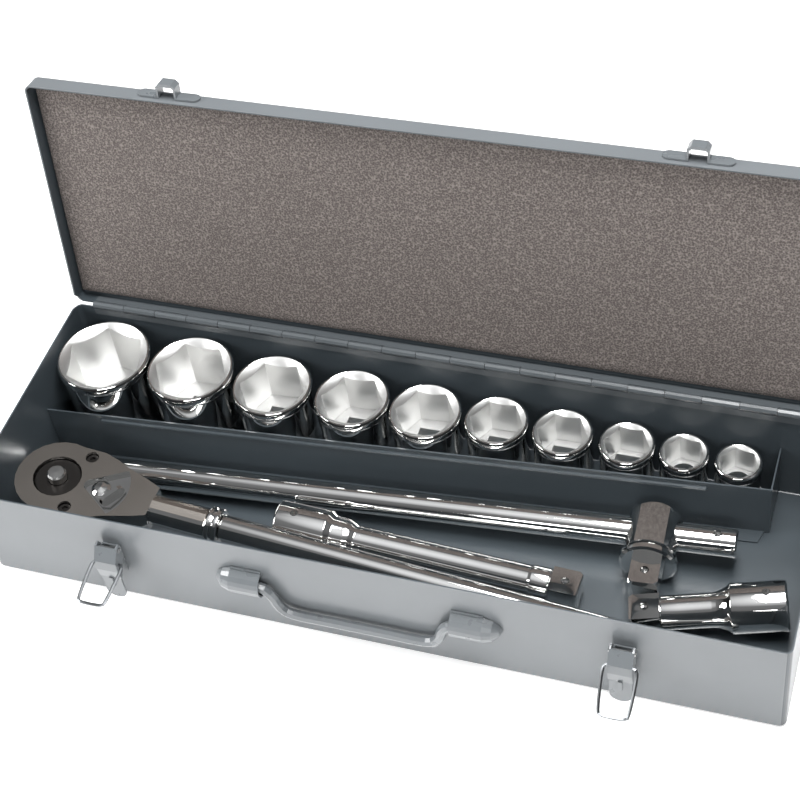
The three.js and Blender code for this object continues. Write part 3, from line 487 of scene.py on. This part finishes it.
def add_socket(flats, turn):
    """A socket that stands on its square end, with its hexagon up."""
    name = f"socket_{flats}"
    low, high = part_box(name)
    centre = (low + high) / 2 / MM
    outer = (high.x - low.x) / 2 / MM
    height = (high.z - low.z) / MM
    neck = min(outer, NECK)
    stepped = outer > neck
    hex_bottom = SQUARE_DEPTH + WEB
    hexed = hexagon(flats, turn)
    hole = square(DRIVE + DRIVE_GAP)
    lip = outer - LIP_INSET

    def mouth(t):
        return height - 0.05 - (lip - hexed(t)) * MOUTH_SLOPE * outer / lip

    outside = [(neck - 1.4, 0), (neck, 1.4)]
    if stepped:
        outside += [(neck, hex_bottom - 1 - (outer - neck) * FLARE), (outer - 1, hex_bottom - 1)]
    outside += [(outer - 0.7, height - 7), (outer, height - 5.2), (outer, height - 1.6),
                (outer - 1.1, height), (lip, height - 0.05)]
    rings = [(lambda t: hole(t) + 0.8, 0.0, 0)]
    rings += lathe_rings([(neck - 2.4, 0.0)] + outside + [(lip - 0.6, height - 0.5)])[1:-1]
    rings[-1] = (*rings[-1][:2], 1)
    rings += [
        (lambda t: hexed(t) + 0.25, lambda t: mouth(t) + 0.15, 1),
        (lambda t: hexed(t), lambda t: mouth(t) - 0.2, 1),
        (hexed, hex_bottom + 0.3, 1),
        (lambda t: hexed(t) - 0.3, hex_bottom, 1),
    ]
    if flats > DRIVE * OPEN_SQUARE:
        rings += [(lambda t: hole(t) + 0.3, hex_bottom, 1), (hole, hex_bottom - 0.3, 1)]
    else:
        web = min(flats / 2 - 2.2, 9.0)
        rings += [(circle(web), hex_bottom, 1), (circle(web), SQUARE_DEPTH + 0.1, 1),
                  (hole, SQUARE_DEPTH, 1)]
    rings.append((hole, 0.8, 1))
    piece = loft(f"{name}_body", rings, [chrome, satin_mouth], SOCKET_SEGMENTS, closed=True)
    lay(piece, Matrix.Translation(Vector((centre.x, centre.y, FLOOR_TOP)) * MM), False)
    finish_piece(piece, name, name, 30)


for size, turned_by in HEX_TURN.items():
    add_socket(size, turned_by)


# ---- extension bars ---------------------------------------------------------------------

def add_extension(name, length, at, yaw, ringed):
    """An extension bar that lies on its cup, and on its shank or its square at the other end."""
    cup = length - CUP_LENGTH
    slope = min((CUP_RADIUS - DRIVE / 2) / cup, (CUP_RADIUS - SHANK) / (cup - DRIVE_LENGTH))
    height = FLOOR_TOP + REST_GAP + CUP_RADIUS - cup * slope
    s = DRIVE_LENGTH
    male = square(DRIVE, DRIVE * 0.735)
    tip = square(DRIVE - 2.4, DRIVE * 0.62)
    profile = [(DRIVE * 0.7, s - 0.6), (SHANK - 0.8, s - 0.6), (SHANK, s + 0.4), (SHANK, s + 12)]
    if ringed:
        profile += [(SHANK - 0.7, s + 14), (SHANK - 0.7, cup - 20), (SHANK + 1.2, cup - 16.6),
                    (SHANK + 2.1, cup - 13), (SHANK + 2.6, cup - 4), (CUP_RADIUS, cup)]
    else:
        profile += [(SHANK, cup - 11), (SHANK + 0.35, cup - 8), (SHANK + 1, cup - 6),
                    (SHANK + 2.0, cup - 3.4), (CUP_RADIUS - 2, cup - 1.4), (CUP_RADIUS, cup + 1)]
    profile += [(CUP_RADIUS, length - 1.2), (CUP_RADIUS - 1.2, length), (DRIVE / 2 + 4, length)]
    hole = square(DRIVE + DRIVE_GAP)
    rings = [(square(DRIVE - 3.4, DRIVE * 0.55), 0.0, 0), (tip, 0.25, 0), (male, 2.6, 0),
             (male, s - 0.6, 0)]
    rings += lathe_rings(profile)[1:-1]
    rings += [(lambda t: hole(t) + 1.1, length - 0.3, 0), (hole, length - 1.6, 1),
              (hole, length - CUP_HOLE_DEPTH, 1)]
    piece = loft(f"{name}_body", rings, [chrome, satin_mouth], EXTENSION_SEGMENTS)
    bore_out(piece, (0, DRIVE / 2 - 1.0, s / 2), (0, 1, 0), BALL_HOLE_RADIUS, BALL_HOLE_DEPTH)
    bore_out(piece, (0, CUP_RADIUS - 2.4, length - CATCH_INSET), (0, 1, 0),
             CATCH_RADIUS, CATCH_DEPTH)
    pitch = math.degrees(math.asin(slope))
    lay(piece, tool_matrix((*at, height), yaw, pitch))
    finish_piece(piece, name, name, 28)


for extension_name, values in EXTENSIONS.items():
    add_extension(extension_name, *values)


# ---- T-bar ------------------------------------------------------------------------------

BAR_PITCH = math.degrees(math.asin((HEAD_COLLAR - BAR_RADIUS) / (BAR_LENGTH - BAR_STUB)))
bar_frame = tool_matrix(BAR_HEAD, BAR_YAW, BAR_PITCH)
far = BAR_STUB - BAR_LENGTH
rod_profile = [(0, far), (BAR_RADIUS - 1.2, far), (BAR_RADIUS, far + 1.2),
               (BAR_RADIUS, BAR_STUB - 1.2), (BAR_RADIUS - 1.2, BAR_STUB), (0, BAR_STUB)]
bar = loft("tbar_rod_body", lathe_rings(rod_profile), [chrome], 96)
for hole_at in (far + BAR_HOLE_INSET, BAR_STUB - BAR_HOLE_INSET):
    bore_out(bar, (0, BAR_RADIUS - 1.5, hole_at), (0, 1, 0), BAR_HOLE_RADIUS, BAR_HOLE_DEPTH)
lay(bar, bar_frame)
finish_piece(bar, "tbar", "tbar_rod", 28)


# ---- ratchet collar and grip ------------------------------------------------------------

ratchet_drop = RATCHET_AT[2] - FLOOR_TOP - GRIP_RADIUS - REST_GAP
ratchet_pitch = -math.degrees(math.asin(ratchet_drop / GRIP_END))
ratchet_frame = tool_matrix(RATCHET_AT, RATCHET_YAW, ratchet_pitch)
ratchet_up = ratchet_frame.to_3x3() @ Vector((0, 0, 1))
face_height = RATCHET_TOP * MM - 0.0001
satin_head = head_look("satin_head", (0.42, 0.385, 0.35), CHROME,
                       ratchet_frame.translation, ratchet_up, face_height)


def add_handle_part(name, profile, closed):
    """A turned chrome piece on the ratchet's handle, from (radius, distance) corners."""
    piece = loft(f"{name}_body", lathe_rings(profile), [chrome], closed=closed)
    lay(piece, ratchet_frame)
    finish_piece(piece, "ratchet", name, 28)


r = GRIP_RADIUS
add_handle_part("ratchet_grip", [
    (0, GRIP_BORE), (TENON_RADIUS, GRIP_BORE), (TENON_RADIUS, GRIP_START), (r - 0.6, GRIP_START),
    (r, GRIP_START + 0.6), (r, GRIP_END - 3), (r - 1, GRIP_END - 0.9), (r - 3, GRIP_END),
    (0, GRIP_END)], False)
r = COLLAR_RADIUS
collar_middle = COLLAR_START + COLLAR_LENGTH / 2
collar_end = COLLAR_START + COLLAR_LENGTH
add_handle_part("ratchet_collar", [
    (TENON_RADIUS, COLLAR_START), (r - 0.8, COLLAR_START), (r, COLLAR_START + 0.8),
    (r, collar_middle - 1.2), (r - 1.3, collar_middle - 0.4), (r - 1.3, collar_middle + 0.4),
    (r, collar_middle + 1.2), (r, collar_end - 0.8), (r - 0.8, collar_end),
    (TENON_RADIUS, collar_end)], True)


# ---- lid foam ---------------------------------------------------------------------------

def add_foam():
    """The sheet glued in the lid: rounded edges and a slightly uneven open face."""
    node = nodes["lid_foam"]
    co = np.array([v.co for v in node.data.vertices])
    low, high = co.min(0), co.max(0)
    centre = (low + high) / 2
    # the sheet's own frame: X along the lid, the other two from its widest side profile
    flat = co[:, 1:] - centre[1:]
    _, _, axes = np.linalg.svd(flat - flat.mean(0), full_matrices=False)
    along = Vector((0.0, *axes[0]))
    if along.z < 0:
        along.negate()
    out = Vector((1, 0, 0)).cross(along)
    reach = flat @ np.array(along[1:])
    thick = flat @ np.array(out[1:])
    half_x, half_v = (high[0] - low[0]) / 2, (reach.max() - reach.min()) / 2
    middle = Vector(centre) + along * (reach.max() + reach.min()) / 2 \
        + out * (thick.max() + thick.min()) / 2
    half_w = (thick.max() - thick.min()) / 2
    corner = 0.0022     # radius of the open face's rounded edges
    cols, rows = 180, 56
    vertices, faces = [], []
    for face in (1, -1):
        for j in range(rows + 1):
            for i in range(cols + 1):
                u = 2 * i / cols - 1
                v = 2 * j / rows - 1
                x, y = u * half_x, v * half_v
                edge = min(half_x - abs(x), half_v - abs(y))
                drop = 0.0
                wave = 0.0
                if face > 0:
                    if edge < corner:
                        drop = corner - math.sqrt(max(0.0, corner ** 2 - (corner - edge) ** 2))
                    wave = 0.00025 * (noise.noise(Vector((x * 30, y * 30, 0.0))) - 1)
                    wave += 0.00012 * (noise.noise(Vector((x * 220, y * 220, 3.0))) - 1)
                w = face * (half_w - drop * 0.9) + (wave if edge > 0.0 else 0.0)
                vertices.append(middle + Vector((1, 0, 0)) * x + along * y + out * w)
    stride = (rows + 1) * (cols + 1)

    def at(face, i, j):
        """Number of a grid point: face 0 is the open one, and 1 is the glued one."""
        return face * stride + j * (cols + 1) + i

    for j in range(rows):
        for i in range(cols):
            faces.append((at(0, i, j), at(0, i + 1, j), at(0, i + 1, j + 1), at(0, i, j + 1)))
            faces.append((at(1, i, j), at(1, i, j + 1), at(1, i + 1, j + 1), at(1, i + 1, j)))
    for i in range(cols):
        faces.append((at(0, i, 0), at(1, i, 0), at(1, i + 1, 0), at(0, i + 1, 0)))
        faces.append((at(0, i + 1, rows), at(1, i + 1, rows), at(1, i, rows), at(0, i, rows)))
    for j in range(rows):
        faces.append((at(0, 0, j + 1), at(1, 0, j + 1), at(1, 0, j), at(0, 0, j)))
        faces.append((at(0, cols, j), at(1, cols, j), at(1, cols, j + 1), at(0, cols, j + 1)))
    piece = mesh_piece("lid_foam_sheet", [tuple(v) for v in vertices], faces, [foam])
    finish_piece(piece, "lid", "lid_foam", 60)


add_foam()


# ---- materials of the CAD nodes that stay -----------------------------------------------

LOOKS = {
    "case_base": base_paint, "lid_shell": lid_paint, "tray_divider": tray_paint,
    "hinge_leaf_base": hinge_paint, "hinge_leaf_lid": hinge_paint, "hinge_pin": plain_steel,
    "handle_bail": hardware_paint, "ratchet_body": satin_head, "ratchet_cover": chrome,
    "ratchet_drive": black_steel, "ratchet_button": plain_steel, "ratchet_lever": chrome,
    "ratchet_pawl": plain_steel, "ratchet_screw_rear": black_steel,
    "ratchet_screw_front": black_steel, "tbar_head": chrome,
}
for side in ("left", "right"):
    for part in ("lid_staple", "latch_base", "latch_lever", "handle_bracket"):
        LOOKS[f"{part}_{side}"] = hardware_paint
    LOOKS[f"latch_pin_{side}"] = plain_steel
    LOOKS[f"latch_bail_{side}"] = bail_steel
# width of the rounded edges in millimetres, where it isn't EDGE. 0 stands for round wire
EDGE = 0.18
SHARP, WIRE_SHARP = math.radians(32), math.radians(50)
BEVEL = {"case_base": 0.35, "lid_shell": 0.35, "tray_divider": 0.2, "ratchet_body": 0.5,
         "tbar_head": 0.3, "ratchet_lever": 0.3, "handle_bail": 0.0, "latch_bail_left": 0.0,
         "latch_bail_right": 0.0}

for name, node in nodes.items():
    look = LOOKS.get(name, plain_steel)
    node.data.materials.clear()
    node.data.materials.append(look)
    node.data.shade_smooth()
    width = BEVEL.get(name, EDGE)
    node.data.set_sharp_from_angle(angle=SHARP if width else WIRE_SHARP)
    if width:
        bevel = node.modifiers.new("edges", "BEVEL")
        bevel.width = width * MM
        bevel.segments = 2
        bevel.limit_method = "ANGLE"
        bevel.angle_limit = SHARP
        bevel.use_clamp_overlap = True
        bevel.harden_normals = True


# ---- floor, light and camera ------------------------------------------------------------

def add_floor():
    """A wide flat sheet just under the case."""
    bm = bmesh.new()
    bmesh.ops.create_grid(bm, x_segments=8, y_segments=8, size=6.0)
    mesh = bpy.data.meshes.new("floor")
    bm.to_mesh(mesh)
    bm.free()
    mesh.materials.append(floor_look())
    floor = bpy.data.objects.new("floor", mesh)
    floor.location.z = cad_box[0][2] - 0.0005
    bpy.context.scene.collection.objects.link(floor)


def add_light(name, at, towards, width, depth, power):
    """A white rectangular lamp, width by depth metres, of power watts."""
    data = bpy.data.lights.new(name, "AREA")
    data.shape = "RECTANGLE"
    data.size = width
    data.size_y = depth
    data.energy = power
    light = bpy.data.objects.new(name, data)
    light.location = at
    aim = Vector(towards) - Vector(at)
    light.rotation_euler = aim.to_track_quat("-Z", "Y").to_euler()
    bpy.context.scene.collection.objects.link(light)


add_floor()
add_light("overhead", (0.25, 0.1, 1.7), (0.0, 0.0, 0.0), 1.1, 0.55, 42)
add_light("left", (-1.5, -0.5, 1.0), (0.0, 0.0, 0.0), 0.8, 0.8, 26)
add_light("front", (0.5, -2.0, 1.5), (0.0, 0.0, 0.05), 1.6, 0.4, 16)


def add_world():
    """A dark studio under a broad soft ceiling, so that chrome runs from white to black."""
    world = bpy.data.worlds.new("studio")
    world.use_nodes = True
    tree = world.node_tree
    direction = tree.nodes.new("ShaderNodeTexCoord").outputs["Generated"]
    split = tree.nodes.new("ShaderNodeSeparateXYZ")
    tree.links.new(direction, split.inputs[0])
    ramp = tree.nodes.new("ShaderNodeValToRGB")
    tree.links.new(split.outputs["Z"], ramp.inputs[0])
    stops = ((0.0, 0.9), (0.06, 0.02), (0.45, 0.03), (0.72, 0.16), (0.86, 0.2), (1.0, 1.0))
    elements = ramp.color_ramp.elements
    while len(elements) < len(stops):
        elements.new(0.5)
    for element, (at, level) in zip(elements, stops):
        element.position = at
        element.color = (level, level * 1.01, level * 1.03, 1.0)
    tree.links.new(ramp.outputs[0], tree.nodes["Background"].inputs[0])
    bpy.context.scene.world = world


add_world()

CAMERA_AT = Vector((318.98, -662.68, 958.97)) * MM
LOOK_AT = Vector((-41.93, 115.17, 0.0)) * MM
ROLL = -9.691
FOCAL = 78.86
SENSOR = 36.0

camera_data = bpy.data.cameras.new("camera")
camera_data.lens = FOCAL
camera_data.sensor_width = SENSOR
camera = bpy.data.objects.new("camera", camera_data)
forward = (LOOK_AT - CAMERA_AT).normalized()
level = forward.cross(Vector((0, 0, 1))).normalized()
above = level.cross(forward)
turn = math.radians(ROLL)
right = level * math.cos(turn) + above * math.sin(turn)
up = right.cross(forward)
camera.matrix_world = Matrix.Translation(CAMERA_AT) @ Matrix(
    (right, up, -forward)).transposed().to_4x4()
bpy.context.scene.collection.objects.link(camera)
bpy.context.scene.camera = camera

bpy.context.scene.view_settings.view_transform = "Standard"
